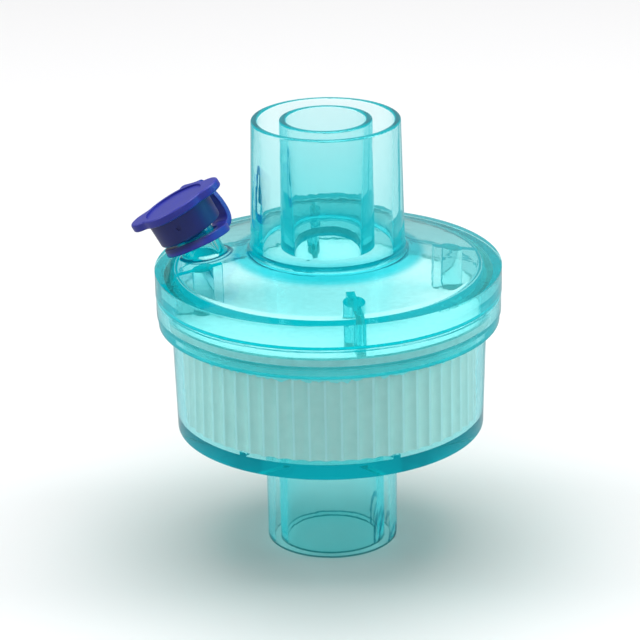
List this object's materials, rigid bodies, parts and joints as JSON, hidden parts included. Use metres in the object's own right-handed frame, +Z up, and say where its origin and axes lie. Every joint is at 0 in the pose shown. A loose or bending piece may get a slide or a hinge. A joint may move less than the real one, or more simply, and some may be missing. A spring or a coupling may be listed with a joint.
{
  "type": "breathing circuit filter",
  "caption": "Clear round heat and moisture exchange filter with concentric tube connectors above and below, a paper roll inside and a tethered cap on a tilted sampling port.",
  "frame": {"origin": "centre of the lower port's end face", "axes": "+Z up along the common axis of the tube connectors, towards the socket; the sampling port is towards -X"},
  "size_m": [0.0612, 0.0574, 0.0735],
  "materials": {
    "clear_teal": "clear teal moulding, polished",
    "white_felt": "matt white filter felt",
    "white_paper": "matt white corrugated paper",
    "blue_plastic": "soft blue-violet moulding, satin"
  },
  "bodies": {
    "housing": {"upper_housing": "clear_teal", "lower_housing": "clear_teal", "filter_membrane": "white_felt", "hme_roll": "white_paper"},
    "tether": {"tether_ring": "blue_plastic", "tether_strap": "blue_plastic"},
    "cap": {"luer_cap": "blue_plastic"}
  },
  "joints": [
    {"name": "tether_swivel", "type": "hinge", "parent": "housing", "child": "tether", "pos_m": [-0.02036, 0, 0.05], "axis": [-0.4848, 0, 0.8746], "range_deg": [-90, 15]},
    {"name": "cap_pull", "type": "slide", "parent": "tether", "child": "cap", "axis": [-0.4848, 0, 0.8746], "range_m": [0, 0.0075], "deforming": ["tether_strap"]}
  ]
}
